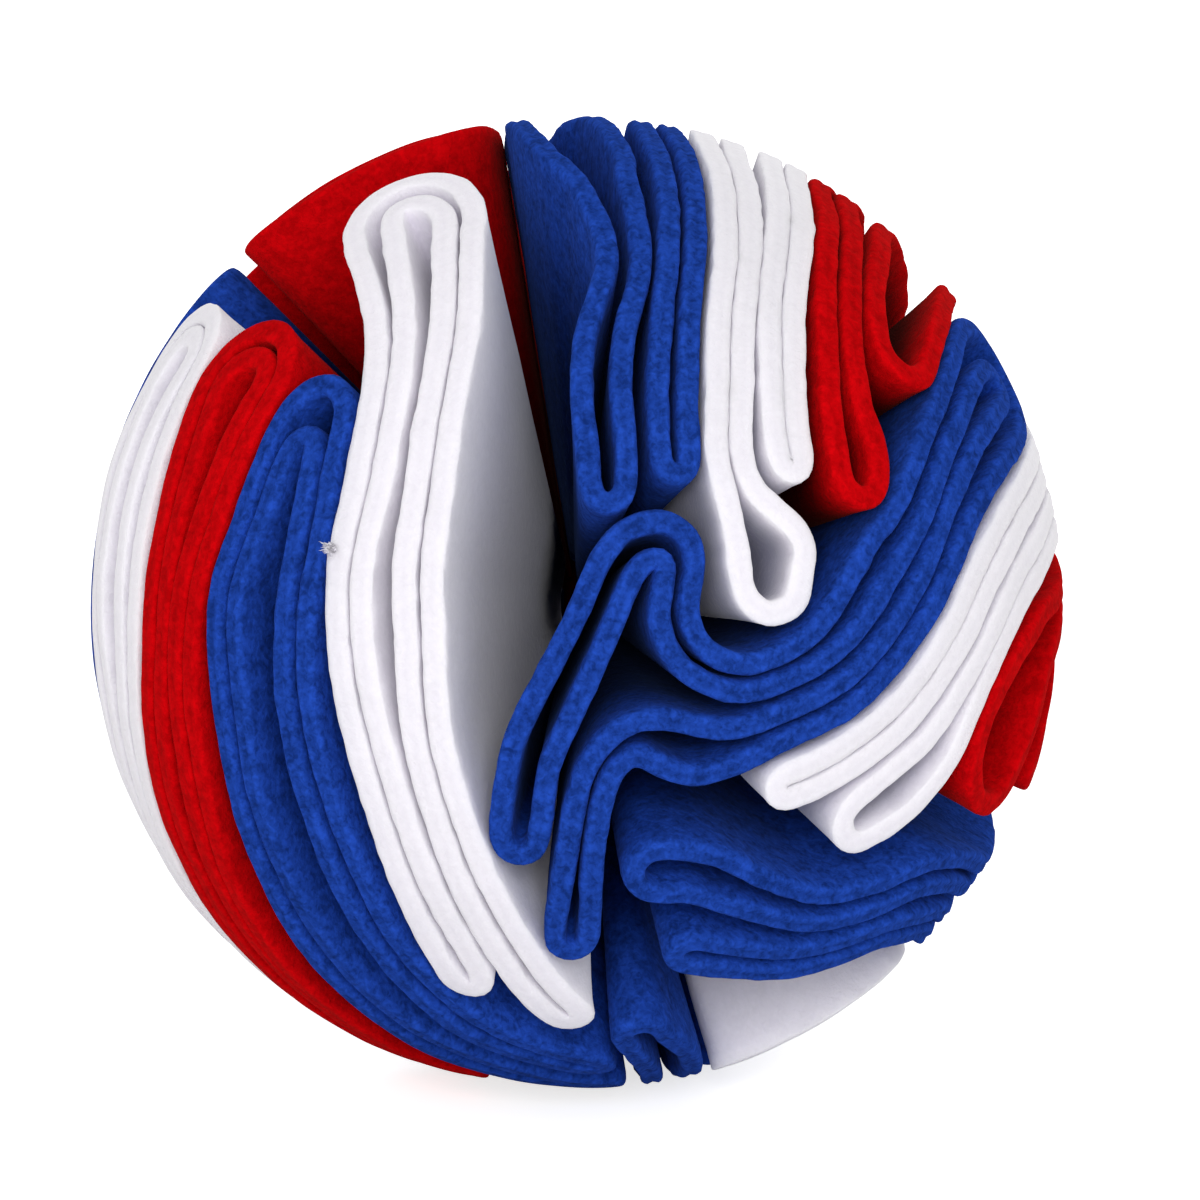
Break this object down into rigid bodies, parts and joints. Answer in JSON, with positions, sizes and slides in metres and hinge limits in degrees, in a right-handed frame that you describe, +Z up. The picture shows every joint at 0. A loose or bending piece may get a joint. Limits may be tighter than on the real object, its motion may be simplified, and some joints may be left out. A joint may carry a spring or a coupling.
{
  "type": "snuffle ball",
  "caption": "Dog's snuffle ball of folded fleece discs gathered at the centre, with folds and gaps between them that hide treats.",
  "frame": {"origin": "middle of the flat spot under the ball, on the surface that it rests on", "axes": "-Y towards the front, the side with the white curl at its left; +X to the right seen from the front; +Z up"},
  "size_m": [0.1495, 0.1499, 0.1483],
  "materials": {
    "blue_fleece": "brushed fleece",
    "white_fleece": "brushed fleece",
    "red_fleece": "brushed fleece"
  },
  "bodies": {
    "root": {"left_white_inner": "white_fleece", "left_blue": "blue_fleece", "left_red": "red_fleece", "left_white_outer": "white_fleece", "left_blue_back": "blue_fleece", "back_red": "red_fleece", "back_white": "white_fleece", "back_blue": "blue_fleece", "mid_red": "red_fleece", "crown_red": "red_fleece", "top_blue": "blue_fleece", "top_white": "white_fleece", "top_red": "red_fleece", "right_blue": "blue_fleece", "right_white": "white_fleece", "right_red": "red_fleece", "low_blue": "blue_fleece", "low_white": "white_fleece", "foot_blue": "blue_fleece"}
  },
  "joints": []
}
